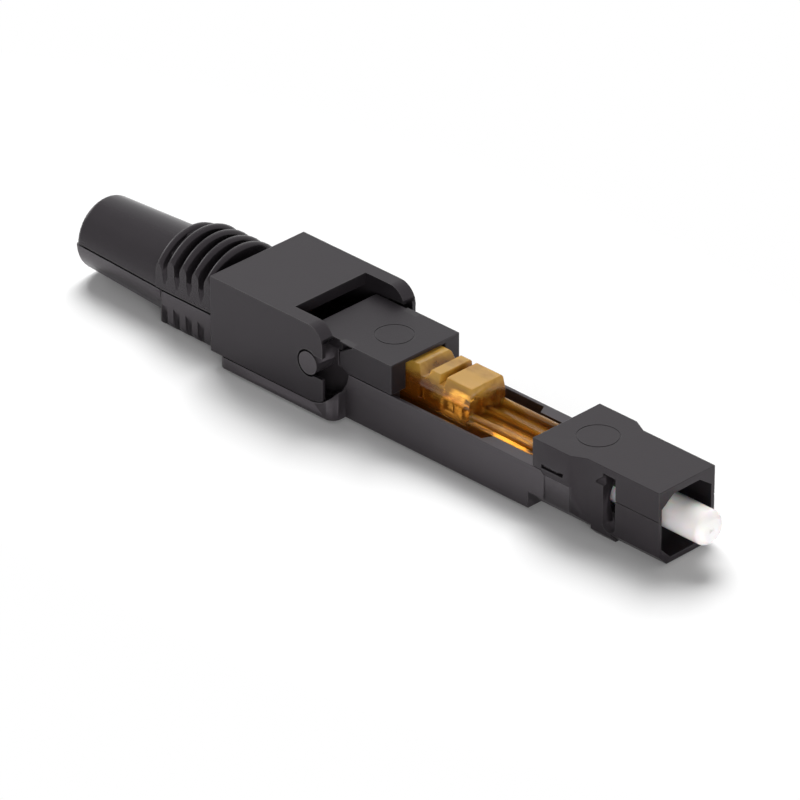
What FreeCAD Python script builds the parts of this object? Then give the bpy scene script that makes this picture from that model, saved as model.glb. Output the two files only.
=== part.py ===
import FreeCAD, Part
import math
import os

from FreeCAD import Vector

# Field-fitted SC fibre connector, without its outer coupling sleeve.
# Frame: the ferrule's axis is the X axis, +X towards its tip, X = 0 at the plug's front rim,
# +Z up. The lock slider and the hinged rear cover are on top.

# ---- Ferrule and fibre -------------------------------------------------------------------
FERRULE_RADIUS = 1.25
FERRULE_LENGTH = 10.5
FERRULE_REACH = 2.35        # tip ahead of the plug's rim
FERRULE_EDGE = 0.35         # chamfer round the tip
FERRULE_DOME = 14.0         # polish radius of the end face
FIBRE_RADIUS = 0.0625
FIBRE_CLEARANCE = 0.01
STUB_LENGTH = 25.0          # factory fibre, tip to the middle of the splice

# ---- Fits --------------------------------------------------------------------------------
SLIDE_CLEARANCE = 0.05      # between pieces that slide on each other
HINGE_CLEARANCE = 0.15      # round the cover's hinge pins
SEAM = 0.03                 # between pieces that are clipped together
FLOAT_TRAVEL = 1.0          # how far a mated ferrule is pushed back

# ---- Plug frame --------------------------------------------------------------------------
PLUG_LENGTH = 10.9
PLUG_HALF_HEIGHT = 2.85
PLUG_HALF_WIDTH = 2.65
PLUG_TAPER_START = 7.5      # behind the rim, where the wide rear ends
PLUG_TAPER_LENGTH = 1.1
PLUG_SIDE_WALL = 0.3
PLUG_TOP_WALL = 0.55
PLUG_FLOOR_WALL = 0.42
PLUG_MOUTH_DEPTH = 3.8
PLUG_MOUTH_CHAMFER = 1.1
PLUG_EDGE = 0.87            # chamfer along the two lower edges
PLUG_THROAT_RADIUS = 1.95
PLUG_WEB_BACK = 6.25        # rear face of the web that stops the collar
PLUG_WEB = 0.7
PLUG_WEB_HOLE_CLEARANCE = 0.2
PLUG_UNDERSIDE = -2.85
PLUG_BELLY_RISE = 0.32      # underside between the body and the rib
PLUG_RIB_FRONT = 4.3
PLUG_RIB_LENGTH = 1.8
PLUG_RIB_EDGE = 0.55
SIDE_SLOT_FRONT = 3.9
SIDE_SLOT_WIDTH = 1.1
SIDE_SLOT_TOP = 2.3
SIDE_SLOT_BOTTOM = -1.95
SIDE_SLOT_DEPTH = 0.95      # breaks into the throat level with the ferrule
SIDE_NOTCH = 0.68           # wedge behind the slot's top corner
SIDE_NOTCH_TOP = 2.1
SIDE_NOTCH_BOTTOM = 1.38
PARTING_HEIGHT = 0.65       # fine line from the slot to the rim
PARTING_WIDTH = 0.08
PARTING_DEPTH = 0.05
SNAP_SLOT_FRONT = 8.15
SNAP_SLOT_LENGTH = 1.95
SNAP_SLOT_HEIGHT = 0.27
SNAP_SLOT_SILL = 0.43       # above the seam with the body
MARK_RADIUS = 1.5
MARK_WIDTH = 0.1
MARK_DEPTH = 0.03
MARK_BEHIND_RIM = 8.0

# ---- Ferrule collar and spring -------------------------------------------------------------
COLLAR_RADIUS = 2.05
COLLAR_FLANGE = 1.0
COLLAR_HUB_RADIUS = 1.6
COLLAR_HUB_LENGTH = 1.75
COLLAR_FLAT = 1.8           # half distance across the two keying flats
SPRING_WIRE = 0.15          # wire radius
SPRING_RADIUS = 1.85        # to the middle of the wire
SPRING_TURNS = 3.0
SPRING_WIRE_SIDES = 6

# ---- Body ----------------------------------------------------------------------------------
UNDERSIDE = -2.65
BODY_HALF_WIDTH = 3.25
CHANNEL_HALF_WIDTH = 2.25
CHANNEL_FLOOR = -1.3
WALL_TOP = 0.72
NOSE_HALF_WIDTH = 3.2       # side cheeks that run forward under the plug's hood
NOSE_WALL_TOP = 0.45
NOSE_STEP_BEHIND_RIM = 10.1 # where the walls step down to the cheeks
DEEP_FRONT = 11.2           # where the deep underside ends
CHANNEL_FRONT = 9.8
SPRING_BORE_CLEARANCE = 0.15
SEAT_WALL = 0.6
SEAT_GAP = 0.2              # seat wall behind the channel's front
SEAT_TOP = 1.75
LID_POCKET_FRONT = 15.8
LID_POCKET_LENGTH = 8.3
LID_POCKET_HALF_WIDTH = 2.97
LID_POCKET_FLOOR = -0.35
TRAY_FRONT = 29.0
TRAY_HALF_WIDTH = 2.5
TRAY_FLOOR = -1.6
TRAY_END_WALL = 1.0

# ---- Hinge ----------------------------------------------------------------------------------
HINGE_BEHIND_RIM = 30.7
HINGE_HEIGHT = 1.05
PIN_RADIUS = 0.85
PIN_POCKET_RADIUS = 2.7
PIN_POCKET_DEPTH = 0.5
PIN_ARM_REAR = 1.2          # arm behind the pin's centre
PIN_ARM_FRONT = 1.25
PIN_ARM_TOP = 1.05          # arm above the pin's centre

# ---- Flange ----------------------------------------------------------------------------------
FLANGE_FRONT = 28.3
FLANGE_LENGTH = 11.2
FLANGE_THICKNESS = 0.85
FLANGE_CORNER = 0.7
SADDLE_TOP = -0.55          # blocks on the flange that follow the cover's round chin
SADDLE_CLEARANCE = 0.05

# ---- Rear cover ------------------------------------------------------------------------------
COVER_FRONT = 29.3
COVER_LENGTH = 10.9
COVER_HALF_WIDTH = 4.45
COVER_WALL = 1.1
COVER_SIDE_GAP = 0.1        # between the cover's ears and the tray they straddle
COVER_TOP = 4.06
COVER_ROOF = 0.9
COVER_REAR_WALL = 1.0
COVER_SKIRT_GAP = 0.03      # skirt above the flange
COVER_CORNER = 1.4
NOTCH_REAR = 33.0
HOOK_SKIN = 0.3             # outer skin of the ears round the pins
HOOK_BROW = 3.0             # underside of the thick brow above the hooks
HOOK_MOUTH = 0.8            # half height of the hooks' open mouth

# ---- Cable tail ------------------------------------------------------------------------------
TAIL_LENGTH = 15.4
TAIL_END_RADIUS = 2.75
TAIL_NECK_RADIUS = 3.15
TAIL_ROUND = 0.4
TAIL_LIP = 0.15             # lower half reaches this much further back
TAIL_FLAT = 3.2             # half distance across the two side flats
RIB_COUNT = 5
RIB_PITCH = 1.2
RIB_PLAIN = 0.7             # plain stretch between the ribs and the cover
RIB_CREST = 4.12
RIB_FIRST_CREST = 3.78      # the rearmost rib is lower
RIB_ROOT = 3.22
RIB_CREST_SHARE = 0.56      # of the pitch, the rest is the root
RIB_STEPS = 6
LOWER_UNDERSIDE = -2.85
LOWER_REAR_GAP = 0.24       # rearmost rib overhangs the lower block
LOWER_GROOVE_WIDTH = 0.62
LOWER_GROOVE_DEPTH = 0.45
LOWER_GROOVE_RUNOUT = 0.9
LOWER_BAND = 1.0            # plain band under the split
LOWER_ROUND = 0.8
LOWER_CORNER = 0.4
CABLE_RADIUS = 1.5
CLAMP_LENGTH = 4.2
CLAMP_HALF_WIDTH = 2.0
TOOTH_PITCH = 0.95
TOOTH_BITE = 0.2            # how far the teeth stand into the cable's jacket
TOOTH_DEPTH = 0.4

# ---- Lock slider -----------------------------------------------------------------------------
SLIDER_FRONT = 23.95
SLIDER_LENGTH = 4.92
SLIDER_HALF_WIDTH = 3.25
SLIDER_TOP = 3.0
SLIDER_ROOF = 0.3
SLIDER_TRAVEL = 5.8
TONGUE_LENGTH = 2.9
TONGUE_HALF_WIDTH = 2.15
TONGUE_PLATE_HALF_WIDTH = 3.1  # top plate over the tongue, between the cover's ears
TONGUE_PLATE_UNDERSIDE = 2.25
WING_SLOPE_LENGTH = 1.27    # slanted hollows in the wings' sides
WING_SLOPE_DROP = 0.72
WING_LIP = 0.08
WING_HOLLOW = 0.5
WING_CORNER_LENGTH = 0.7
WING_CORNER_HEIGHT = 0.4
RAIL_WIDTH = 0.25
RAIL_DEPTH = 0.72
TUNNEL_CLEARANCE = 0.13     # between the slider's tunnel and the lid
SLIDER_MARK_RADIUS = 1.4
SLIDER_MARK_BEHIND_RIM = 26.9

# ---- Splice holder ---------------------------------------------------------------------------
LID_FRONT = 18.15
LID_LENGTH = 10.9
LID_HALF_WIDTH = 1.74
LID_TOP_HALF_WIDTH = 1.22
LID_SHOULDER = 1.65         # the lid slopes in above this on one side only
LID_FAR_EDGE = 0.15
LID_GAP = 0.05              # lid above the base
FRONT_PAD_LENGTH = 2.6
VALLEY_DEPTH = 0.6
FRONT_VALLEY = 0.55
MIDDLE_PAD = 0.9
REAR_VALLEY = 0.6
LID_WINDOWS = [(19.7, 0.8), (22.55, 0.4)]   # behind the rim, and length
WINDOW_BOTTOM = 0.5
WINDOW_TOP = 1.2
WINDOW_DEPTH = 0.35
BASE_REAR = 29.9
BASE_HALF_WIDTH = 2.15
BASE_STEP = -0.4
BASE_TOP = 0.03
FUNNEL_LENGTH = 1.3
FUNNEL_HALF_WIDTH = 1.2
FUNNEL_TOP = 0.9
FUNNEL_MOUTH = 0.75
NECK_HALF_WIDTH = 2.0
NECK_TOP = 0.55
RIDGE_HALF_WIDTH = 0.25
RIDGE_TOP = 1.05
RIDGE_SPACING = 1.5
NECK_NOSE_RADIUS = 1.5
SPIGOT_RADIUS = 0.9
SPIGOT_LENGTH = 0.75

# ---- Places worked out from the sizes above ---------------------------------------------------
ferrule_rear = FERRULE_REACH - FERRULE_LENGTH
collar_front = -PLUG_WEB_BACK - SEAM
collar_back = collar_front - COLLAR_FLANGE
hub_back = collar_back - COLLAR_HUB_LENGTH
seat_front = -CHANNEL_FRONT - SEAT_GAP
seat_back = seat_front - SEAT_WALL
neck_front = seat_back - SLIDE_CLEARANCE
plug_rear_half_width = NOSE_HALF_WIDTH
plug_hood_inside = NOSE_HALF_WIDTH - 0.42
plug_roof = PLUG_HALF_HEIGHT - PLUG_TOP_WALL
hinge_x = -HINGE_BEHIND_RIM
cover_rear = -COVER_FRONT - COVER_LENGTH
cover_inside = COVER_HALF_WIDTH - COVER_WALL
tray_outside = cover_inside - COVER_SIDE_GAP
flange_top = UNDERSIDE + FLANGE_THICKNESS
belly = PLUG_UNDERSIDE + PLUG_BELLY_RISE
rib_root_radius = RIB_PITCH * (1 - RIB_CREST_SHARE) / 2
rib_crest_radius = RIB_PITCH * RIB_CREST_SHARE / 2
skirt_bottom = flange_top + COVER_SKIRT_GAP
skirt_radius = HINGE_HEIGHT - skirt_bottom
tail_end = cover_rear - TAIL_LENGTH
rib_rear = cover_rear - RIB_PLAIN - RIB_COUNT * RIB_PITCH
slider_rear = -SLIDER_FRONT - SLIDER_LENGTH
lid_top = SLIDER_TOP - SLIDER_ROOF - SLIDE_CLEARANCE
lid_bottom = BASE_TOP + LID_GAP
base_bottom = CHANNEL_FLOOR + SEAM


# ---- Shape helpers ----------------------------------------------------------------------------
def slab(x0, x1, y0, y1, z0, z1):
    return Part.makeBox(x1 - x0, y1 - y0, z1 - z0, Vector(x0, y0, z0))


def beam(x0, x1, half_width, z0, z1):
    """A block centred on the axis's vertical plane."""
    return slab(x0, x1, -half_width, half_width, z0, z1)


def both_sides(shape):
    return shape.fuse(shape.mirror(Vector(0, 0, 0), Vector(0, 1, 0)))


def prism(points, travel):
    wire = Part.makePolygon(points + [points[0]])
    return Part.Face(wire).extrude(travel)


def section(half_outline, x0, x1):
    """half_outline is (y, z) from the lowest point up, and is mirrored across the middle plane."""
    outline = half_outline + [(-y, z) for y, z in reversed(half_outline)]
    return prism([Vector(x0, y, z) for y, z in outline], Vector(x1 - x0, 0, 0))


def side_profile(points, y0, y1):
    """points are (x, z), drawn from the side."""
    return prism([Vector(x, y0, z) for x, z in points], Vector(0, y1 - y0, 0))


def plan(half_outline, z0, z1):
    """half_outline is (x, y) from rear to front, and is mirrored across the middle plane."""
    outline = half_outline + [(x, -y) for x, y in reversed(half_outline)]
    return prism([Vector(x, y, z0) for x, y in outline], Vector(0, 0, z1 - z0))


def rod(x0, x1, radius):
    return Part.makeCylinder(radius, x1 - x0, Vector(x0, 0, 0), Vector(1, 0, 0))


def cross_pin(x, z, radius, y0, y1):
    return Part.makeCylinder(radius, y1 - y0, Vector(x, y0, z), Vector(0, 1, 0))


def turned(points):
    """points are (x, radius); the outline is turned about the X axis."""
    wire = Part.makePolygon([Vector(x, 0, r) for x, r in points + [points[0]]])
    return Part.Face(wire).revolve(Vector(0, 0, 0), Vector(1, 0, 0), 360)


def ring_mark(x, z, radius):
    """The shallow ring moulded into a top face, as the tool that cuts it."""
    outer = Part.makeCylinder(radius, MARK_DEPTH + 1, Vector(x, 0, z - MARK_DEPTH))
    return outer.cut(Part.makeCylinder(radius - MARK_WIDTH, MARK_DEPTH + 1, Vector(x, 0, z - MARK_DEPTH)))


def solid_of(shape):
    """The one solid of a finished piece, with split faces joined again."""
    shape = shape.removeSplitter()
    solids = shape.Solids
    assert len(solids) == 1, "%d solids" % len(solids)
    return solids[0]


# ---- Ferrule, its collar and the fibre ----------------------------------------------------------
def make_ferrule():
    bore = FIBRE_RADIUS + FIBRE_CLEARANCE / 2
    flat = FERRULE_RADIUS - FERRULE_EDGE
    dome = FERRULE_DOME - math.sqrt(FERRULE_DOME ** 2 - flat ** 2)
    shoulder = FERRULE_REACH - dome - FERRULE_EDGE
    outline = [
        (ferrule_rear, 0.4),
        (ferrule_rear, FERRULE_RADIUS),
        (shoulder, FERRULE_RADIUS),
        (FERRULE_REACH - dome, flat),
    ]
    start = Vector(FERRULE_REACH - dome, 0, flat)
    half = flat / 2
    middle = Vector(FERRULE_REACH - FERRULE_DOME + math.sqrt(FERRULE_DOME ** 2 - half ** 2), 0, half)
    end = Vector(FERRULE_REACH - FERRULE_DOME + math.sqrt(FERRULE_DOME ** 2 - bore ** 2), 0, bore)
    edges = Part.makePolygon([Vector(x, 0, r) for x, r in outline]).Edges
    edges.append(Part.Arc(start, middle, end).toShape())
    back = [end, Vector(ferrule_rear + 0.6, 0, bore), Vector(ferrule_rear, 0, 0.4)]
    edges += Part.makePolygon(back).Edges
    return Part.Face(Part.Wire(edges)).revolve(Vector(0, 0, 0), Vector(1, 0, 0), 360)


def make_ferrule_collar():
    outline = [
        (hub_back, SPIGOT_RADIUS + SEAM),
        (hub_back, COLLAR_HUB_RADIUS),
        (collar_back, COLLAR_HUB_RADIUS),
        (collar_back, COLLAR_RADIUS),
        (collar_front, COLLAR_RADIUS),
        (collar_front, FERRULE_RADIUS),
        (ferrule_rear, FERRULE_RADIUS),
        (ferrule_rear, SPIGOT_RADIUS + SEAM),
    ]
    flats = both_sides(slab(collar_back, collar_front, COLLAR_FLAT, COLLAR_RADIUS, -COLLAR_RADIUS, COLLAR_RADIUS))
    return turned(outline).cut(flats)


def make_fibre_stub():
    return rod(FERRULE_REACH - STUB_LENGTH, FERRULE_REACH - 0.02, FIBRE_RADIUS)


def make_ferrule_spring():
    """A coil of six-sided wire between the seat and the collar's flange."""
    rear = seat_front + SPRING_WIRE + SEAM
    front = collar_back - SPRING_WIRE - SEAM
    coil = Part.makeHelix((front - rear) / SPRING_TURNS, front - rear, SPRING_RADIUS)
    corners = []
    for i in range(SPRING_WIRE_SIDES + 1):
        a = 2 * math.pi * i / SPRING_WIRE_SIDES
        corners.append(Vector(SPRING_RADIUS + SPRING_WIRE * math.cos(a), 0, SPRING_WIRE * math.sin(a)))
    spring = Part.Wire(coil.Edges).makePipeShell([Part.makePolygon(corners)], True, True)
    spring.rotate(Vector(0, 0, 0), Vector(0, 1, 0), 90)
    spring.translate(Vector(rear, 0, 0))
    return spring


# ---- Plug frame ----------------------------------------------------------------------------------
def lower_corner(x0, x1, half_width, bottom, edge):
    """The 45 degree cuts along the two lower edges of a block."""
    corner = [
        Vector(x0, half_width + 1, bottom + edge + 1),
        Vector(x0, half_width - edge - 1, bottom - 1),
        Vector(x0, half_width + 2, bottom - 1),
    ]
    return both_sides(prism(corner, Vector(x1 - x0, 0, 0)))


def plug_outside():
    taper_end = -PLUG_TAPER_START + PLUG_TAPER_LENGTH
    outline = [
        (-PLUG_LENGTH, plug_rear_half_width),
        (-PLUG_TAPER_START, plug_rear_half_width),
        (taper_end, PLUG_HALF_WIDTH),
        (0, PLUG_HALF_WIDTH),
    ]
    front_lift = PLUG_UNDERSIDE + 0.05
    rib_rear_face = -PLUG_RIB_FRONT - PLUG_RIB_LENGTH
    block = plan(outline, front_lift, PLUG_HALF_HEIGHT)
    block = block.cut(beam(-PLUG_LENGTH, -PLUG_RIB_FRONT - PLUG_RIB_LENGTH / 2, 5, PLUG_UNDERSIDE - 1, belly))
    block = block.cut(lower_corner(-PLUG_LENGTH, 1, PLUG_HALF_WIDTH, PLUG_UNDERSIDE, PLUG_EDGE))
    rib = beam(rib_rear_face, -PLUG_RIB_FRONT, PLUG_HALF_WIDTH, PLUG_UNDERSIDE, -1)
    rib = rib.cut(lower_corner(rib_rear_face - 1, 0, PLUG_HALF_WIDTH, PLUG_UNDERSIDE, PLUG_RIB_EDGE))
    return block.fuse(rib)


def plug_seam_profile(gap):
    """The body's walls step down here and run forward under the plug; gap lifts it for the plug's edge."""
    step = -NOSE_STEP_BEHIND_RIM
    high = WALL_TOP + gap
    low = NOSE_WALL_TOP + gap
    return [(step, high), (step + high - low, low)]


def plug_inside():
    floor = PLUG_UNDERSIDE + 0.05 + PLUG_FLOOR_WALL
    half = PLUG_HALF_WIDTH - PLUG_SIDE_WALL
    mouth_outline = [
        (half - PLUG_EDGE, floor),
        (half, floor + PLUG_EDGE),
        (half, plug_roof - 0.8),
        (half - PLUG_MOUTH_CHAMFER, plug_roof),
    ]
    mouth = section(mouth_outline, -PLUG_MOUTH_DEPTH, 1)
    throat = rod(-PLUG_WEB_BACK + PLUG_WEB, 0, PLUG_THROAT_RADIUS)
    web_hole = rod(-PLUG_WEB_BACK - 1, 0, FERRULE_RADIUS + PLUG_WEB_HOLE_CLEARANCE)
    belly_floor = belly + PLUG_FLOOR_WALL
    chamber = beam(-PLUG_TAPER_START - 1, -PLUG_WEB_BACK, half, belly_floor, plug_roof)
    hood = beam(-PLUG_LENGTH - 1, -PLUG_TAPER_START, plug_hood_inside, -5, plug_roof)
    return mouth.fuse([throat, web_hole, chamber, hood])


def body_room():
    """What the body's walls, cheeks and floor take out of the plug's lower rear."""
    back = -PLUG_LENGTH - 1
    (x1, z1), (x2, z2) = plug_seam_profile(SEAM)
    end = -PLUG_TAPER_START + SEAM
    return side_profile([(back, -5), (back, z1), (x1, z1), (x2, z2), (end, z2), (end, -5)], -5, 5)


def side_slots():
    """Latch slots in the two sides, closed at the back by the throat's wall."""
    inner = PLUG_HALF_WIDTH - SIDE_SLOT_DEPTH
    rear = -SIDE_SLOT_FRONT - SIDE_SLOT_WIDTH
    radius = SIDE_SLOT_WIDTH / 2
    bottom = SIDE_SLOT_BOTTOM + radius
    slot = slab(rear, -SIDE_SLOT_FRONT, inner, 5, bottom, SIDE_SLOT_TOP)
    slot = slot.fuse(cross_pin(rear + radius, bottom, radius, inner, 5))
    notch = side_profile([(rear + 0.1, SIDE_NOTCH_TOP), (rear, SIDE_NOTCH_TOP),
                          (rear - SIDE_NOTCH, SIDE_NOTCH_BOTTOM + 0.15), (rear - SIDE_NOTCH, SIDE_NOTCH_BOTTOM),
                          (rear + 0.1, SIDE_NOTCH_BOTTOM)], PLUG_HALF_WIDTH - PLUG_SIDE_WALL, 5)
    return both_sides(slot.fuse(notch))


def parting_lines():
    half = PARTING_WIDTH / 2
    return both_sides(slab(-SIDE_SLOT_FRONT - 0.1, 1, PLUG_HALF_WIDTH - PARTING_DEPTH, 5,
                           PARTING_HEIGHT - half, PARTING_HEIGHT + half))


def snap_slots():
    sill = NOSE_WALL_TOP + SNAP_SLOT_SILL
    rear = -SNAP_SLOT_FRONT - SNAP_SLOT_LENGTH
    return both_sides(slab(rear, -SNAP_SLOT_FRONT, plug_hood_inside - 0.1, 5, sill, sill + SNAP_SLOT_HEIGHT))


def make_plug_frame():
    frame = plug_outside().cut(plug_inside())
    frame = frame.cut([body_room(), side_slots(), snap_slots(), parting_lines()])
    frame = frame.cut(ring_mark(-MARK_BEHIND_RIM, PLUG_HALF_HEIGHT, MARK_RADIUS))
    return solid_of(frame)


# ---- Body ------------------------------------------------------------------------------------------
def body_channel():
    (x1, z1), (x2, z2) = plug_seam_profile(0)
    outline = [(-TRAY_FRONT, UNDERSIDE), (-TRAY_FRONT, z1), (x1, z1), (x2, z2), (-CHANNEL_FRONT, z2),
               (-CHANNEL_FRONT, belly), (-DEEP_FRONT, belly), (-DEEP_FRONT, UNDERSIDE)]
    outer = side_profile(outline, -BODY_HALF_WIDTH, BODY_HALF_WIDTH)
    inner = beam(-TRAY_FRONT, -CHANNEL_FRONT, CHANNEL_HALF_WIDTH, CHANNEL_FLOOR, WALL_TOP + 1)
    front = -LID_POCKET_FRONT
    rear = front - LID_POCKET_LENGTH
    slope = LID_POCKET_HALF_WIDTH - CHANNEL_HALF_WIDTH
    pocket_outline = [
        (rear, LID_POCKET_HALF_WIDTH),
        (front, LID_POCKET_HALF_WIDTH),
        (front + slope / 2, CHANNEL_HALF_WIDTH),
    ]
    pocket = plan(pocket_outline, LID_POCKET_FLOOR, WALL_TOP + 1)
    return outer.cut([inner, pocket])


def body_nose():
    """Cheeks and floor that run on under the plug's hood, the snap arms and the spring's seat."""
    front = -PLUG_TAPER_START
    cheeks = beam(seat_back, front, NOSE_HALF_WIDTH, belly, NOSE_WALL_TOP)
    arm_inside = SPRING_RADIUS + SPRING_WIRE
    arm = slab(-PLUG_LENGTH + 0.6, front - 0.4, arm_inside, plug_hood_inside - SEAM, 0, SEAT_TOP)
    sill = NOSE_WALL_TOP + SNAP_SLOT_SILL
    rise = NOSE_HALF_WIDTH - plug_hood_inside - 0.15
    bump_rear = -SNAP_SLOT_FRONT - SNAP_SLOT_LENGTH + SEAM
    wedge = [
        Vector(bump_rear, plug_hood_inside - 0.2, sill + SEAM),
        Vector(bump_rear, plug_hood_inside + rise, sill + SEAM),
        Vector(-SNAP_SLOT_FRONT - 0.6, plug_hood_inside + rise, sill + SEAM),
        Vector(-SNAP_SLOT_FRONT - SEAM, plug_hood_inside - 0.2, sill + SEAM),
    ]
    bump = prism(wedge, Vector(0, 0, SNAP_SLOT_HEIGHT - 2 * SEAM))
    nose = cheeks.fuse(both_sides(arm.fuse(bump)))
    nose = nose.cut(beam(seat_front, 0, SPRING_RADIUS + SPRING_WIRE, 0, 5))
    seat = beam(seat_back, seat_front, CHANNEL_HALF_WIDTH + 0.1, CHANNEL_FLOOR - 0.5, SEAT_TOP)
    return nose.fuse(seat)


def nose_corners():
    """The plug's lower chamfers, carried back along the cheeks to the deep underside."""
    edge = NOSE_HALF_WIDTH - PLUG_HALF_WIDTH + PLUG_EDGE - PLUG_BELLY_RISE
    return lower_corner(-DEEP_FRONT, 0, NOSE_HALF_WIDTH, belly, edge)


def spring_bore():
    """Round room for the spring in front of its seat, and the smaller hole for the splice's neck."""
    bore = rod(seat_front, 0, SPRING_RADIUS + SPRING_WIRE + SPRING_BORE_CLEARANCE)
    return bore.fuse(rod(seat_back - FLOAT_TRAVEL - 0.3, 0, NECK_NOSE_RADIUS + 2 * SLIDE_CLEARANCE))


def toothed_bore(x0, x1, radius):
    """The cable's passage, with ring grooves that leave teeth standing."""
    passage = rod(x0, x1, radius)
    count = int((x1 - x0) / TOOTH_PITCH)
    for i in range(count):
        start = x0 + (i + 0.5) * TOOTH_PITCH
        passage = passage.fuse(rod(start, start + TOOTH_PITCH / 2, radius + TOOTH_DEPTH))
    return passage


def body_tray():
    rear = cover_rear + COVER_REAR_WALL
    outer = beam(cover_rear, -TRAY_FRONT, tray_outside, UNDERSIDE, WALL_TOP)
    outer = outer.cut(beam(cover_rear - 1, rear + SLIDE_CLEARANCE, 9, -SEAM, 9))
    inner = beam(rear, -TRAY_FRONT, TRAY_HALF_WIDTH, TRAY_FLOOR, WALL_TOP + 1)
    tray = outer.cut(inner)
    arm = slab(hinge_x - PIN_ARM_REAR, hinge_x + PIN_ARM_FRONT, TRAY_HALF_WIDTH, tray_outside, 0,
               HINGE_HEIGHT + PIN_ARM_TOP)
    cradle = beam(rear - 0.1, rear + CLAMP_LENGTH, TRAY_HALF_WIDTH + 0.1, TRAY_FLOOR - 0.1, -SEAM)
    guide_front = -BASE_REAR - FUNNEL_LENGTH - FLOAT_TRAVEL - 0.4
    guide = beam(guide_front - 2.2, guide_front, 0.9, TRAY_FLOOR - 0.1, 0.35)
    guide_cut = beam(guide_front - 3, guide_front + 1, 0.35, -0.35, 1)
    return tray.fuse([both_sides(arm), cradle, guide]).cut(guide_cut)


def body_flange():
    x1 = -FLANGE_FRONT
    x0 = x1 - FLANGE_LENGTH
    plate = beam(x0, x1, COVER_HALF_WIDTH, UNDERSIDE, SADDLE_TOP)
    upright = [e for e in plate.Edges if abs(e.Vertexes[0].Z - e.Vertexes[-1].Z) > 0.1]
    plate = plate.makeFillet(FLANGE_CORNER, upright)
    plate = plate.cut(beam(x0 - 1, hinge_x, 9, flange_top, 1))
    plate = plate.cut(beam(x0 - 1, 0, tray_outside - 0.1, flange_top, 1))
    sweep = cross_pin(hinge_x, HINGE_HEIGHT, skirt_radius + SADDLE_CLEARANCE, -9, 9)
    return plate.cut(sweep.common(beam(x0 - 1, 0, 9, flange_top, 9)))


def hinge_pins():
    y0 = tray_outside - PIN_POCKET_DEPTH - 0.1
    return both_sides(cross_pin(hinge_x, HINGE_HEIGHT, PIN_RADIUS, y0, COVER_HALF_WIDTH))


def pin_pockets():
    y0 = tray_outside - PIN_POCKET_DEPTH
    return both_sides(cross_pin(hinge_x, HINGE_HEIGHT, PIN_POCKET_RADIUS, y0, COVER_HALF_WIDTH))


# ---- Cable tail, split level with the axis ---------------------------------------------------------
def tail_cone(end):
    outline = [(end, 0.1), (end, TAIL_END_RADIUS - TAIL_ROUND)]
    steps = 4
    for i in range(1, steps + 1):
        a = math.pi / 2 * i / steps
        outline.append((end + TAIL_ROUND * (1 - math.cos(a)), TAIL_END_RADIUS - TAIL_ROUND * (1 - math.sin(a))))
    neck = rib_rear + LOWER_REAR_GAP + 0.1
    outline += [(neck, TAIL_NECK_RADIUS), (neck, 0.1)]
    return turned(outline)


def arc_points(x, r, radius, first, last, steps):
    """Points round an arc about (x, r), with angles in degrees from the +X direction."""
    points = []
    for i in range(steps + 1):
        a = math.radians(first + (last - first) * i / steps)
        points.append((x + radius * math.cos(a), r + radius * math.sin(a)))
    return points


def ribbed_neck():
    """Rings of a wavy outline: a round crest and a tighter root for each pitch."""
    outline = [(rib_rear, 0.1), (rib_rear, RIB_ROOT)]
    for i in range(RIB_COUNT):
        x = rib_rear + i * RIB_PITCH + rib_crest_radius
        crest = RIB_CREST if i else RIB_FIRST_CREST
        outline += arc_points(x, crest - rib_crest_radius, rib_crest_radius, 180, 0, RIB_STEPS)
        if i < RIB_COUNT - 1:
            root = x + rib_crest_radius + rib_root_radius
            outline += arc_points(root, RIB_ROOT + rib_root_radius, rib_root_radius, 180, 360, 3)
    outline += [(outline[-1][0] + rib_root_radius / 2, RIB_ROOT), (cover_rear + 0.1, RIB_ROOT), (cover_rear + 0.1, 0.1)]
    return turned(outline)


def upper_tail():
    tail = tail_cone(tail_end + TAIL_LIP).fuse(ribbed_neck())
    return tail.common(beam(tail_end - 1, cover_rear + 0.1, TAIL_FLAT, SEAM / 2, 9))


def lower_tail():
    rear = rib_rear + LOWER_REAR_GAP
    c = LOWER_CORNER
    outline = [(rear, TAIL_FLAT - c), (rear + 0.3 * c, TAIL_FLAT - 0.3 * c), (rear + c, TAIL_FLAT),
               (cover_rear + 0.1, TAIL_FLAT)]
    block = beam(rear, cover_rear + 0.1, TAIL_FLAT, LOWER_UNDERSIDE, 1)
    block = block.makeFillet(LOWER_ROUND, [e for e in block.Edges if lies_along_x(e, LOWER_UNDERSIDE)])
    block = block.common(plan(outline, LOWER_UNDERSIDE, 1))
    grooves = []
    inset = TAIL_FLAT - LOWER_GROOVE_DEPTH
    for i in range(RIB_COUNT - 1):
        x = rib_rear + (i + 1) * RIB_PITCH - rib_root_radius - 0.1 - LOWER_GROOVE_WIDTH / 2
        low = LOWER_UNDERSIDE - 1
        grooves.append(prism([Vector(x, inset, low), Vector(x, inset, -LOWER_BAND - LOWER_GROOVE_RUNOUT),
                              Vector(x, TAIL_FLAT, -LOWER_BAND), Vector(x, 9, -LOWER_BAND), Vector(x, 9, low)],
                             Vector(LOWER_GROOVE_WIDTH, 0, 0)))
    tail = tail_cone(tail_end).fuse(block.cut(both_sides(grooves[0].fuse(grooves[1:]))))
    return tail.common(beam(tail_end - 1, cover_rear + 0.1, TAIL_FLAT + 1, LOWER_UNDERSIDE, -SEAM / 2))


def lies_along_x(edge, z):
    a, b = edge.Vertexes[0].Point, edge.Vertexes[-1].Point
    return abs(a.z - z) < 1e-6 and abs(b.z - z) < 1e-6 and abs(a.y - b.y) < 1e-6


def cable_passage():
    plain = rod(tail_end - 1, cover_rear + COVER_REAR_WALL, CABLE_RADIUS)
    inside = cover_rear + COVER_REAR_WALL
    return plain.fuse(toothed_bore(inside, inside + CLAMP_LENGTH + 0.1, CABLE_RADIUS - TOOTH_BITE))


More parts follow.
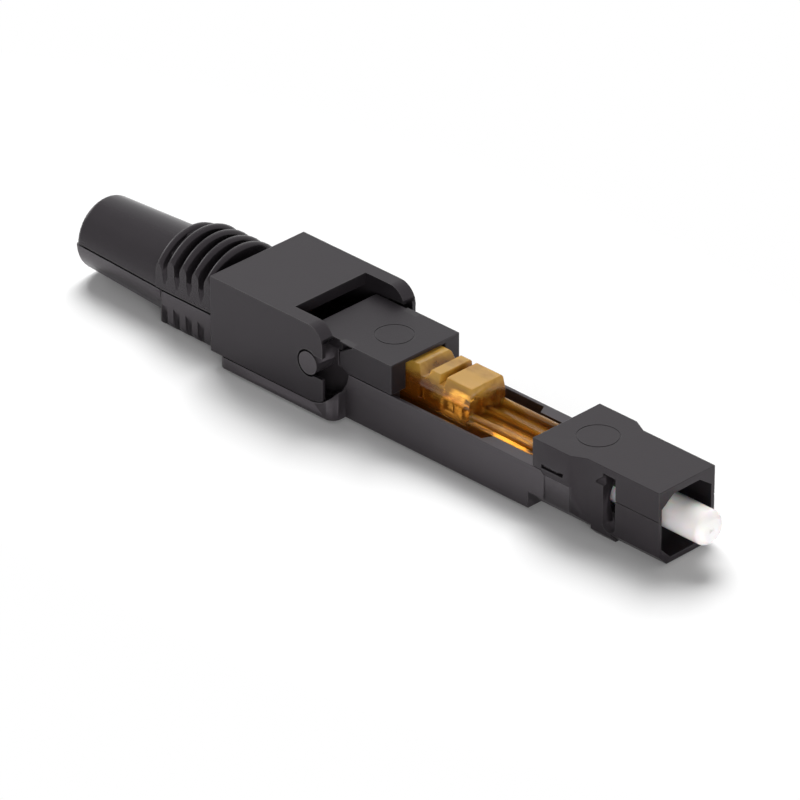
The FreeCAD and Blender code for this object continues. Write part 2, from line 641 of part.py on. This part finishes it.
def make_body():
    body = body_channel().fuse([body_nose(), body_tray(), body_flange(), lower_tail()])
    body = body.cut([pin_pockets(), cable_passage(), spring_bore(), nose_corners()])
    return solid_of(body.fuse(hinge_pins()))


# ---- Rear cover --------------------------------------------------------------------------------------
def cover_side(y0, y1):
    front = -COVER_FRONT
    dx = front - hinge_x
    chin = HINGE_HEIGHT - math.sqrt(skirt_radius ** 2 - dx ** 2)
    mid = math.atan2(dx, HINGE_HEIGHT - chin) / 2
    chin_mid = Vector(hinge_x + skirt_radius * math.sin(mid), y0, HINGE_HEIGHT - skirt_radius * math.cos(mid))
    brow = COVER_TOP - COVER_CORNER
    c = COVER_CORNER * math.sqrt(0.5)
    brow_mid = Vector(front - COVER_CORNER + c, y0, brow + c)
    under = Vector(hinge_x, y0, skirt_bottom)
    low = Vector(front, y0, chin)
    high = Vector(front, y0, brow)
    top = Vector(front - COVER_CORNER, y0, COVER_TOP)
    edges = [
        Part.Arc(under, chin_mid, low).toShape(),
        Part.makeLine(low, high),
        Part.Arc(high, brow_mid, top).toShape(),
    ]
    back = [top, Vector(cover_rear, y0, COVER_TOP), Vector(cover_rear, y0, skirt_bottom), under]
    edges += Part.makePolygon(back).Edges
    return Part.Face(Part.Wire(edges)).extrude(Vector(0, y1 - y0, 0))


def make_rear_cover():
    shell = cover_side(-COVER_HALF_WIDTH, COVER_HALF_WIDTH)
    inside = beam(cover_rear + COVER_REAR_WALL, 0, cover_inside, skirt_bottom - 1, COVER_TOP - COVER_ROOF)
    notch = beam(-NOTCH_REAR, 0, cover_inside, skirt_bottom - 1, COVER_TOP + 1)
    behind_body = beam(cover_rear - 1, cover_rear + COVER_REAR_WALL + 1, cover_inside, skirt_bottom - 1, SEAM / 2)
    eye = cross_pin(hinge_x, HINGE_HEIGHT, PIN_RADIUS + HINGE_CLEARANCE, -9, 9)
    mouth = beam(hinge_x, 0, 9, HINGE_HEIGHT - HOOK_MOUTH, HINGE_HEIGHT + HOOK_MOUTH)
    ears = both_sides(slab(hinge_x - 0.1, 0, cover_inside - 1, COVER_HALF_WIDTH - HOOK_SKIN, -9, HOOK_BROW))
    cover = shell.cut([inside, notch, behind_body, eye, mouth, ears])
    clamp_rear = cover_rear + COVER_REAR_WALL - 0.1
    clamp = beam(clamp_rear, clamp_rear + CLAMP_LENGTH, CLAMP_HALF_WIDTH, 0.25, COVER_TOP - COVER_ROOF + 0.1)
    cover = cover.fuse([clamp, upper_tail()])
    return solid_of(cover.cut(cable_passage()))


# ---- Lock slider ----------------------------------------------------------------------------------------
def wing_slopes():
    """Slanted hollows in the sides of the wings, under a thin top edge, and their cut lower corners."""
    rise = WING_SLOPE_DROP / WING_SLOPE_LENGTH
    top = SLIDER_TOP - WING_LIP
    start = slider_rear + WING_SLOPE_LENGTH
    hollow = side_profile([(start, top), (slider_rear - 1, top), (slider_rear - 1, top - WING_SLOPE_DROP - rise)],
                          SLIDER_HALF_WIDTH - WING_HOLLOW, 5)
    bottom = WALL_TOP + SLIDE_CLEARANCE
    corner = side_profile([(slider_rear - 1, bottom - 1), (slider_rear - 1, bottom + WING_CORNER_HEIGHT),
                           (slider_rear, bottom + WING_CORNER_HEIGHT), (slider_rear + WING_CORNER_LENGTH, bottom),
                           (slider_rear + WING_CORNER_LENGTH, bottom - 1)], SLIDER_HALF_WIDTH - WING_HOLLOW, 5)
    return both_sides(hollow.fuse(corner))


def make_lock_slider():
    front = -SLIDER_FRONT
    bottom = WALL_TOP + SLIDE_CLEARANCE
    wide = beam(slider_rear, front, SLIDER_HALF_WIDTH, bottom, SLIDER_TOP)
    tongue = beam(slider_rear - TONGUE_LENGTH, slider_rear + 1, TONGUE_HALF_WIDTH, bottom, SLIDER_TOP)
    rail_outside = CHANNEL_HALF_WIDTH - SLIDE_CLEARANCE
    rail_front = front - FLOAT_TRAVEL - 0.5
    rail = slab(slider_rear + 0.4, rail_front, rail_outside - RAIL_WIDTH, rail_outside, bottom - RAIL_DEPTH,
                bottom + 0.2)
    low = LID_HALF_WIDTH + TUNNEL_CLEARANCE
    ceiling = SLIDER_TOP - SLIDER_ROOF
    tunnel = beam(slider_rear - TONGUE_LENGTH - 1, front + 1, low, bottom - 1, ceiling)
    plate = beam(slider_rear - TONGUE_LENGTH, slider_rear + 0.1, TONGUE_PLATE_HALF_WIDTH, TONGUE_PLATE_UNDERSIDE,
                 SLIDER_TOP)
    wings = wide.cut(wing_slopes()).fuse([tongue, plate])
    slider = wings.cut(tunnel).fuse(both_sides(rail))
    return solid_of(slider.cut(ring_mark(-SLIDER_MARK_BEHIND_RIM, SLIDER_TOP, SLIDER_MARK_RADIUS)))


# ---- Splice holder ----------------------------------------------------------------------------------------
def lid_valleys():
    """The two dips across the lid, between its three pads."""
    front = -LID_FRONT - FRONT_PAD_LENGTH
    deep = lid_top - VALLEY_DEPTH
    middle_front = front - FRONT_VALLEY
    middle_rear = middle_front - MIDDLE_PAD
    rear = middle_rear - REAR_VALLEY
    first = side_profile([(front, lid_top + 1), (front, deep), (middle_front + 0.1, deep),
                          (middle_front, lid_top), (middle_front, lid_top + 1)], -5, 5)
    second = side_profile([(middle_rear, lid_top + 1), (middle_rear, lid_top), (middle_rear - 0.1, deep),
                           (rear, deep), (rear - 0.5, lid_top), (rear - 0.5, lid_top + 1)], -5, 5)
    return first.fuse(second)


def make_splice_lid():
    rear = -LID_FRONT - LID_LENGTH
    outline = [
        (-LID_HALF_WIDTH, lid_bottom),
        (-LID_HALF_WIDTH, LID_SHOULDER),
        (-LID_TOP_HALF_WIDTH, lid_top),
        (LID_HALF_WIDTH - LID_FAR_EDGE, lid_top),
        (LID_HALF_WIDTH, lid_top - LID_FAR_EDGE),
        (LID_HALF_WIDTH, lid_bottom),
    ]
    lid = prism([Vector(rear, y, z) for y, z in outline], Vector(LID_LENGTH, 0, 0))
    lid = lid.cut(lid_valleys())
    brow = side_profile([(-LID_FRONT - 0.25, lid_top + 1), (-LID_FRONT - 0.25, lid_top), (-LID_FRONT, 1.75),
                         (-LID_FRONT + 1, 1.75), (-LID_FRONT + 1, lid_top + 1)], -5, 5)
    window_floor = LID_HALF_WIDTH - WINDOW_DEPTH
    windows = [slab(-x - w, -x, window_floor, 5, WINDOW_BOTTOM, WINDOW_TOP) for x, w in LID_WINDOWS]
    return solid_of(lid.cut([brow] + [both_sides(window) for window in windows]))


def fibre_groove(x0, x1, top):
    depth = FIBRE_RADIUS * 1.6
    return prism([Vector(x0, -top - depth, top), Vector(x0, top + depth, top), Vector(x0, 0, -depth)],
                 Vector(x1 - x0, 0, 0))


def make_splice_base():
    front = -LID_FRONT
    rear = -BASE_REAR
    outline = [
        (BASE_HALF_WIDTH, base_bottom),
        (BASE_HALF_WIDTH, BASE_STEP),
        (LID_HALF_WIDTH, BASE_STEP),
        (LID_HALF_WIDTH, BASE_TOP),
    ]
    bed = section(outline, rear, front)
    bed = bed.cut(fibre_groove(rear, front, BASE_TOP))
    funnel = beam(rear - FUNNEL_LENGTH, rear, FUNNEL_HALF_WIDTH, base_bottom, FUNNEL_TOP)
    throat = turned([(rear - FUNNEL_LENGTH - 0.1, 0), (rear - FUNNEL_LENGTH - 0.1, FUNNEL_MOUTH),
                     (rear + 0.05, FIBRE_RADIUS * 2.5), (rear + 0.05, 0)])
    funnel = funnel.cut(throat)
    neck = beam(front, neck_front, NECK_HALF_WIDTH, base_bottom, NECK_TOP)
    ridge_foot = RIDGE_TOP - RIDGE_HALF_WIDTH
    ridges = []
    for y in (-RIDGE_SPACING, 0, RIDGE_SPACING):
        ridge = slab(front, neck_front, y - RIDGE_HALF_WIDTH, y + RIDGE_HALF_WIDTH, 0, ridge_foot)
        crown = Part.makeCylinder(RIDGE_HALF_WIDTH, neck_front - front, Vector(front, y, ridge_foot), Vector(1, 0, 0))
        ridges.append(ridge.fuse(crown))
    nose = rod(neck_front - 0.1, hub_back - SEAM, NECK_NOSE_RADIUS)
    spigot = rod(neck_front - 0.1, hub_back - SEAM + SPIGOT_LENGTH, SPIGOT_RADIUS)
    base = bed.fuse([funnel, neck, nose, spigot] + ridges)
    return solid_of(base.cut(rod(front - 0.1, 0, FIBRE_RADIUS * 2)))


PIECES = {
    "body": make_body,
    "rear_cover": make_rear_cover,
    "plug_frame": make_plug_frame,
    "lock_slider": make_lock_slider,
    "splice_base": make_splice_base,
    "splice_lid": make_splice_lid,
    "ferrule": make_ferrule,
    "ferrule_collar": make_ferrule_collar,
    "ferrule_spring": make_ferrule_spring,
    "fibre_stub": make_fibre_stub,
}

os.makedirs("parts", exist_ok=True)
for name, make in PIECES.items():
    shape = make()
    assert shape.isValid(), name
    shape.exportStep("parts/%s.step" % name)
    box = shape.BoundBox
    print("%-16s %9.3f mm3  x %.2f %.2f  y %.2f %.2f  z %.2f %.2f" % (
        name, shape.Volume, box.XMin, box.XMax, box.YMin, box.YMax, box.ZMin, box.ZMax))
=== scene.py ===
import math

import bmesh
import bpy
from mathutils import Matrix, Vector


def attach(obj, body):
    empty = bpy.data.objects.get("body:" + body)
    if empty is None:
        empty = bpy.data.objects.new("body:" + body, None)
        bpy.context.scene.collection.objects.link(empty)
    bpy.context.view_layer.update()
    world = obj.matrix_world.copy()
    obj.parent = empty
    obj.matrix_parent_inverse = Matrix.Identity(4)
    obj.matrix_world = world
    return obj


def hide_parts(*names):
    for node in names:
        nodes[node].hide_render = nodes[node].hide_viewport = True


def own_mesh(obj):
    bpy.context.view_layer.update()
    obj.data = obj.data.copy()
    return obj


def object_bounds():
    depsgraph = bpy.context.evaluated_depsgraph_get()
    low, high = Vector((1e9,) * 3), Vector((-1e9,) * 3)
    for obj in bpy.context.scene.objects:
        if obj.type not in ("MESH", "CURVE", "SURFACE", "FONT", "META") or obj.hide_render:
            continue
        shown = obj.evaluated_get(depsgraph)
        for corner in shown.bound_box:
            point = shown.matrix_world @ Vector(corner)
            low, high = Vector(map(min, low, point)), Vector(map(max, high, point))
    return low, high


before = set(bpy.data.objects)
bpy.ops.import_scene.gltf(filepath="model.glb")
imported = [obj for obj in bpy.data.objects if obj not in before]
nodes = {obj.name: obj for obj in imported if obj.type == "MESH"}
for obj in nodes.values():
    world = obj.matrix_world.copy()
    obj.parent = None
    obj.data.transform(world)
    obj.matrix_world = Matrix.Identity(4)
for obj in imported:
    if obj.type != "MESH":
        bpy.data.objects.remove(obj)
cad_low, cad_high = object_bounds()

# Field-fitted fibre connector: black moulded housing, amber splice holder, white ceramic ferrule.
# Lengths are in metres and angles in degrees. +X is towards the ferrule's tip and +Z is up.

MM = 0.001
MIDDLE = Vector((-27, 0, 0)) * MM

TAIL_FRONT = -40.1 * MM  # the cable tail reaches back from here
UPPER_TAIL_UNDERSIDE = 0.015 * MM


# ---- Shader values -------------------------------------------------------------------------
class Value:
    """A socket of a node setup. Arithmetic on it adds Math nodes."""

    def __init__(self, setup, socket):
        self.setup = setup
        self.socket = socket

    def math(self, operation, first, second, clamp=False):
        settings = {"operation": operation, "use_clamp": clamp}
        return self.setup.add("ShaderNodeMath", settings, {0: first, 1: second})

    def __add__(self, other):
        return self.math("ADD", self, other)

    def __radd__(self, other):
        return self.math("ADD", other, self)

    def __sub__(self, other):
        return self.math("SUBTRACT", self, other)

    def __rsub__(self, other):
        return self.math("SUBTRACT", other, self)

    def __mul__(self, other):
        return self.math("MULTIPLY", self, other)

    def __rmul__(self, other):
        return self.math("MULTIPLY", other, self)

    def __pow__(self, other):
        return self.math("POWER", self, other)

    def __rpow__(self, other):
        return self.math("POWER", other, self)

    def clamped(self):
        return self.math("ADD", self, 0.0, clamp=True)


class Setup:
    """The nodes of a material or of the world, added one by one."""

    def __init__(self, owner):
        owner.use_nodes = True
        self.tree = owner.node_tree
        self.tree.nodes.clear()

    def add(self, kind, settings=None, sockets=None, out=0):
        """Adds a node with its settings, then the values or links of its sockets."""
        node = self.tree.nodes.new(kind)
        for key, value in (settings or {}).items():
            setattr(node, key, value)
        for key, value in (sockets or {}).items():
            if isinstance(value, Value):
                self.tree.links.new(value.socket, node.inputs[key])
            else:
                node.inputs[key].default_value = value
        return Value(self, node.outputs[out]) if len(node.outputs) else None

    def looked_at(self):
        """1 for rays from the camera, off shiny faces and through clear ones, 0 for lighting."""
        return (self.add("ShaderNodeLightPath", out="Is Camera Ray")
                + self.add("ShaderNodeLightPath", out="Is Glossy Ray")
                + self.add("ShaderNodeLightPath", out="Is Transmission Ray")).clamped()


class Finish(Setup):
    """A material whose patterns lie on Object coordinates."""

    def __init__(self, name):
        self.material = bpy.data.materials.new(name)
        super().__init__(self.material)
        self.place = self.add("ShaderNodeTexCoord", out="Object")

    def noise(self, size, detail=2.0, stretch=(1, 1, 1)):
        """Soft noise whose features are about size metres across."""
        at = self.place
        if stretch != (1, 1, 1):
            at = self.add("ShaderNodeMapping", None, {"Vector": at, "Scale": stretch})
        sockets = {"Vector": at, "Scale": 1 / size, "Detail": detail}
        return self.add("ShaderNodeTexNoise", None, sockets)

    def along(self, axis):
        """Distance from the origin along an axis, in metres."""
        return self.add("ShaderNodeSeparateXYZ", None, {0: self.place}, out=axis)

    def corners(self, reach):
        """1 at the outer corners of a piece, fading to 0 at reach from them."""
        settings = {"inside": True, "samples": 8, "only_local": True}
        solid = self.add("ShaderNodeAmbientOcclusion", settings, {"Distance": reach}, out="AO")
        nearly_solid, contrast = 0.92, 2.5
        return ((nearly_solid - solid) * contrast).clamped()

    def blend(self, factor, first, second):
        """The colour first where factor is 0 and second where it is 1."""
        sockets = {"Factor": factor, 6: first, 7: second}
        return self.add("ShaderNodeMix", {"data_type": "RGBA"}, sockets, out=2)

    def grain(self, height, depth, strength):
        sockets = {"Height": height, "Distance": depth, "Strength": strength}
        return self.add("ShaderNodeBump", None, sockets)

    def surface(self, sockets):
        shader = self.add("ShaderNodeBsdfPrincipled", None, sockets)
        self.add("ShaderNodeOutputMaterial", None, {"Surface": shader})
        return self.material


# ---- Finishes ------------------------------------------------------------------------------
def opaque(colour, brighter=1.0):
    return tuple(c * brighter for c in colour) + (1,)


def moulded_black(name, colour, roughness, index, glossy_tail=0.0):
    """Black plastic with a fine sparked grain, a few flow marks, uneven gloss and rubbed corners
    painted lighter as an edge highlight.

    roughness holds its lowest and highest value. glossy_tail is taken off it on the tail's cone."""
    finish = Finish(name)
    flow = finish.noise(9 * MM, 3.0, (0.5, 1.4, 1.4))
    sparks = finish.noise(0.16 * MM, 2.0)
    rubbed = finish.noise(1.8 * MM, 4.0)
    # Patchy rubbed corners, a little smoother and painted lighter towards (0.045, 0.044, 0.044): a
    # painted edge highlight.
    rubbed_highlit_corner = finish.corners(0.14 * MM) * (rubbed * 2.4 - 0.5).clamped()

    shade = finish.blend(flow * 0.7 + rubbed * 0.3, opaque(colour), opaque(colour, 1.35))
    smoothest, roughest = roughness
    uneven = (flow * 0.5 + rubbed * 0.5) * (roughest - smoothest) + smoothest
    if glossy_tail:
        cone_front, over = -40.5 * MM, 1 * MM
        on_tail = ((cone_front - finish.along("X")) * (1 / over)).clamped()
        uneven = uneven - on_tail * glossy_tail
    return finish.surface({
        "Base Color": finish.blend(rubbed_highlit_corner * 0.6, shade, (0.045, 0.044, 0.044, 1)),
        "Roughness": uneven - rubbed_highlit_corner * 0.06,
        "IOR": index,
        "Specular Tint": (1.0, 0.90, 0.99, 1),
        "Normal": finish.grain(sparks, 0.006 * MM, 0.5),
    })


def amber_resin(name, bright, deep_and_shaded, low, high, clear):
    """Amber resin, part clear and part cloudy, with polished faces and a few flow lines.

    Painted shade makes it darkest up to the height low, where it sits over the black tray, and it
    is bright from high up. clear is the share of light that it lets through."""
    finish = Finish(name)
    cloud = finish.noise(1.6 * MM, 3.0, (0.6, 1.2, 1.2))
    flow = finish.noise(0.7 * MM, 2.0, (0.25, 1.5, 1.5))
    # Painted shade: the colour darkens below the height high, most up to low, with random clouding
    # on top.
    painted_low_shade = ((high - finish.along("Z")) * (1 / (high - low))).clamped()
    depth = (cloud * 2.2 - 1.1 + painted_low_shade).clamped()
    return finish.surface({
        "Base Color": finish.blend(depth, opaque(bright), opaque(deep_and_shaded)),
        "Roughness": flow * 0.18 + 0.04,
        "IOR": 1.4,
        "Transmission Weight": clear,
        "Normal": finish.grain(flow, 0.02 * MM, 0.35),
    })


def zirconia_white():
    """Fired ceramic, ground round and polished."""
    finish = Finish("zirconia_white")
    fired = finish.noise(1.5 * MM, 3.0)
    polish = finish.noise(0.3 * MM, 2.0, (0.2, 1, 1))
    return finish.surface({
        "Base Color": finish.blend(fired, (0.93, 0.905, 0.895, 1), (0.89, 0.865, 0.855, 1)),
        "Roughness": polish * 0.12 + 0.14,
        "IOR": 1.6,
        "Subsurface Weight": 0.4,
        "Subsurface Scale": 0.6 * MM,
        "Normal": finish.grain(polish, 0.002 * MM, 0.3),
    })


def turned_metal(name, colour):
    """Plated metal with the fine rings of a lathe."""
    finish = Finish(name)
    rings = finish.noise(0.25 * MM, 2.0, (4, 0.3, 0.3))
    return finish.surface({
        "Base Color": finish.blend(rings, opaque(colour), opaque(colour, 0.85)),
        "Metallic": 1.0,
        "Roughness": rings * 0.18 + 0.2,
        "Normal": finish.grain(rings, 0.003 * MM, 0.4),
    })


def glass_fibre():
    finish = Finish("glass_fibre")
    streak = finish.noise(0.1 * MM, 2.0, (0.2, 1, 1))
    return finish.surface({
        "Base Color": finish.blend(streak, (0.90, 0.89, 0.89, 1), (0.84, 0.84, 0.85, 1)),
        "Roughness": streak * 0.05 + 0.02,
        "IOR": 1.46,
        "Normal": finish.grain(streak, 0.001 * MM, 0.2),
    })


# ---- Pieces --------------------------------------------------------------------------------
def finished_piece(name, bm, material, body, stands_for, crisp_angle=40):
    """Turns a bmesh into a piece with smooth faces that stay crisp past crisp_angle."""
    mesh = bpy.data.meshes.new(name)
    bm.to_mesh(mesh)
    bm.free()
    for face in mesh.polygons:
        face.use_smooth = True
    mesh.set_sharp_from_angle(angle=math.radians(crisp_angle))
    mesh.materials.append(material)
    piece = bpy.data.objects.new(name, mesh)
    bpy.context.scene.collection.objects.link(piece)
    even = piece.modifiers.new("even_light", "WEIGHTED_NORMAL")
    even.keep_sharp = True
    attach(piece, body)
    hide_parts(*stands_for)
    return piece


def merged_copy(node):
    """A CAD node's mesh with its triangles welded and its flat faces made whole."""
    same_corner, flat_angle = 0.002 * MM, 0.6
    bm = bmesh.new()
    bm.from_mesh(nodes[node].data)
    bmesh.ops.remove_doubles(bm, verts=bm.verts, dist=same_corner)
    bmesh.ops.dissolve_limit(bm, angle_limit=math.radians(flat_angle), verts=bm.verts,
                             edges=bm.edges)
    return bm


def turn(edge):
    """How far the surface turns over an edge, or 0 where it has no two faces."""
    return math.degrees(edge.calc_face_angle(0))


def has_room(edge, room):
    """True where the faces round an edge are wide enough at both its ends to be rounded over."""
    return edge.calc_length() > room and all(
        other.calc_length() > room for corner in edge.verts for other in corner.link_edges)


def round_over(bm, edges, width, segments, clamp=False):
    bmesh.ops.bevel(bm, geom=edges, offset=width, offset_type="OFFSET", segments=segments,
                    profile=0.5, affect="EDGES", clamp_overlap=clamp, material=-1)


def round_corners(bm, width, room):
    """Rounds over the outer corners that have room times the width around them."""
    least_turn = 30
    corners = [e for e in bm.edges
               if e.is_convex and turn(e) > least_turn and has_room(e, room * width)]
    round_over(bm, corners, width, segments=2)


def open_tail_seam(bm, gap):
    """Lifts the underside of the upper tail half, so that the seam reads as a fine gap."""
    close = 0.005 * MM
    for v in bm.verts:
        if v.co.x < TAIL_FRONT and abs(v.co.z - UPPER_TAIL_UNDERSIDE) < close:
            v.co.z += gap


def moulded(node, body, material, width, room=3, seam_gap=0.0):
    """A moulding with its outer corners rounded over by width."""
    bm = merged_copy(node)
    if seam_gap:
        open_tail_seam(bm, seam_gap)
    round_corners(bm, width, room)
    return finished_piece(node + "_moulding", bm, material, body, [node])


def polished_ferrule(material):
    """The ceramic cylinder, with the polished round over of its tip."""
    bm = merged_copy("ferrule")
    tip_from, outside_of_bore, least_turn = cad_high.x - 0.6 * MM, 0.7 * MM, 20
    rims = [e for e in bm.edges
            if min(v.co.x for v in e.verts) > tip_from and turn(e) > least_turn
            and math.hypot(e.verts[0].co.y, e.verts[0].co.z) > outside_of_bore]
    round_over(bm, rims, 0.16 * MM, segments=4, clamp=True)
    return finished_piece("ferrule_polished", bm, material, "ferrule_unit",
                          ["ferrule"], crisp_angle=50)


def coil_spring(material):
    """The spring stands on its seat in the body, on a mesh of its own."""
    bm = merged_copy("ferrule_spring")
    spring = finished_piece("spring_coil", bm, material, "body",
                            ["ferrule_spring"])
    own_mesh(spring)


def finished_in_place(node, material):
    """A small piece that keeps its CAD mesh and takes a finish."""
    nodes[node].data.materials.clear()
    nodes[node].data.materials.append(material)


# The housing's black is painted a little lighter than the other mouldings' to make up for the shade
# its near side takes from the shadowed floor.
housing_black_lightened = moulded_black("housing_black_lightened", (0.019, 0.0168, 0.0185), (0.30, 0.44), 1.55)
cover_black = moulded_black("cover_black", (0.0130, 0.0113, 0.0129), (0.28, 0.42), 1.36,
                            glossy_tail=0.12)
slider_black = moulded_black("slider_black", (0.0125, 0.0110, 0.0125), (0.30, 0.44), 1.35)
plug_black = moulded_black("plug_black", (0.0135, 0.0115, 0.0130), (0.28, 0.42), 1.36)
amber_base = amber_resin("amber_base", bright=(0.92, 0.48, 0.06), deep_and_shaded=(0.44, 0.16, 0.008),
                         low=0.3 * MM, high=1.5 * MM, clear=0.72)
amber_lid = amber_resin("amber_lid", bright=(1.0, 0.58, 0.10), deep_and_shaded=(0.22, 0.065, 0.005),
                        low=1.6 * MM, high=2.6 * MM, clear=0.6)

moulded("body", "body", housing_black_lightened, 0.05 * MM)
moulded("rear_cover", "rear_cover", cover_black, 0.07 * MM, room=4,
        seam_gap=0.11 * MM)
moulded("plug_frame", "body", plug_black, 0.05 * MM)
moulded("lock_slider", "lock_slider", slider_black, 0.06 * MM)
moulded("splice_base", "ferrule_unit", amber_base, 0.04 * MM)
moulded("splice_lid", "ferrule_unit", amber_lid, 0.07 * MM)
polished_ferrule(zirconia_white())
coil_spring(turned_metal("spring_steel", (0.56, 0.57, 0.58)))
finished_in_place("ferrule_collar", turned_metal("collar_nickel", (0.72, 0.70, 0.66)))
finished_in_place("fibre_stub", glass_fibre())


# ---- Stage ---------------------------------------------------------------------------------
def paper_white():
    """Pale paper that takes the object's shadow, and reads as plain white further off."""
    finish = Finish("floor_white")
    narrower = 0.45  # the part is long, so its shadow reaches further along X than along Y
    lengthways = (finish.along("X") - MIDDLE.x) * narrower
    across = finish.along("Y")
    away = (lengthways * lengthways + across * across) ** 0.5
    shadow_reach, fade = 17 * MM, 14 * MM
    open_floor = ((away - shadow_reach) * (1 / fade)).clamped()

    fibres = finish.noise(8 * MM)
    colour = finish.blend(fibres, (0.93, 0.93, 0.93, 1), (0.95, 0.95, 0.95, 1))
    lit = finish.add("ShaderNodeBsdfDiffuse", None, {"Color": colour})
    plain = finish.add("ShaderNodeEmission", None, {"Color": (1, 1, 1, 1), "Strength": 1.0})
    shown = finish.add("ShaderNodeMixShader", None,
                       {0: finish.looked_at() * open_floor, 1: lit, 2: plain})
    finish.add("ShaderNodeOutputMaterial", None, {"Surface": shown})
    return finish.material


def floor():
    below_the_part = 0.02 * MM
    bm = bmesh.new()
    bmesh.ops.create_grid(bm, x_segments=1, y_segments=1, size=1.2)
    bmesh.ops.translate(bm, verts=bm.verts, vec=(0, 0, cad_low.z - below_the_part))
    mesh = bpy.data.meshes.new("floor")
    bm.to_mesh(mesh)
    bm.free()
    mesh.materials.append(paper_white())
    ground = bpy.data.objects.new("floor", mesh)
    bpy.context.scene.collection.objects.link(ground)


def surroundings():
    """White all round to look at and in reflections, and a faint even light on the object."""
    world = bpy.data.worlds.new("studio")
    bpy.context.scene.world = world
    setup = Setup(world)
    even_light = 0.14
    strength = setup.looked_at() * (1 - even_light) + even_light
    glow = setup.add("ShaderNodeBackground", None, {"Color": (1, 1, 1, 1), "Strength": strength})
    setup.add("ShaderNodeOutputWorld", None, {"Surface": glow})


def softbox(name, direction, size, watts, mirrored=True):
    """A soft lamp aimed at the middle of the part. mirrored says whether shiny faces show it."""
    distance = 0.9
    light = bpy.data.lights.new(name, "AREA")
    light.shape = "RECTANGLE"
    light.size, light.size_y = size
    light.energy = watts
    lamp = bpy.data.objects.new(name, light)
    offset = Vector(direction).normalized() * distance
    lamp.location = MIDDLE + offset
    lamp.rotation_mode = "QUATERNION"
    lamp.rotation_quaternion = (-offset).to_track_quat("-Z", "Y")
    lamp.visible_glossy = mirrored
    bpy.context.scene.collection.objects.link(lamp)


def camera():
    """Looks down on the near side, from in front of the tip."""
    azimuth, height, distance = math.radians(44.91), math.radians(29.81), 0.5
    aim = Vector((-25.285, -1.087, -0.992)) * MM
    back = Vector((math.sin(azimuth) * math.cos(height), -math.cos(azimuth) * math.cos(height),
                   math.sin(height)))
    view = bpy.data.cameras.new("camera")
    view.lens = 334.67
    view.sensor_width = 36
    view.clip_start, view.clip_end = 0.01, 10
    eye = bpy.data.objects.new("camera", view)
    eye.location = aim + back * distance
    eye.rotation_mode = "QUATERNION"
    eye.rotation_quaternion = back.to_track_quat("Z", "Y")
    bpy.context.scene.collection.objects.link(eye)
    bpy.context.scene.camera = eye


floor()
softbox("key", (-0.55, 0.55, 0.95), size=(0.6, 0.6), watts=10.6, mirrored=False)
softbox("near", (0.9, -0.75, 0.24), size=(0.7, 0.3), watts=5.4, mirrored=False)
softbox("end", (-1.0, -0.06, 0.36), size=(0.4, 0.3), watts=0.8)
surroundings()
camera()
bpy.context.scene.view_settings.view_transform = "Standard"
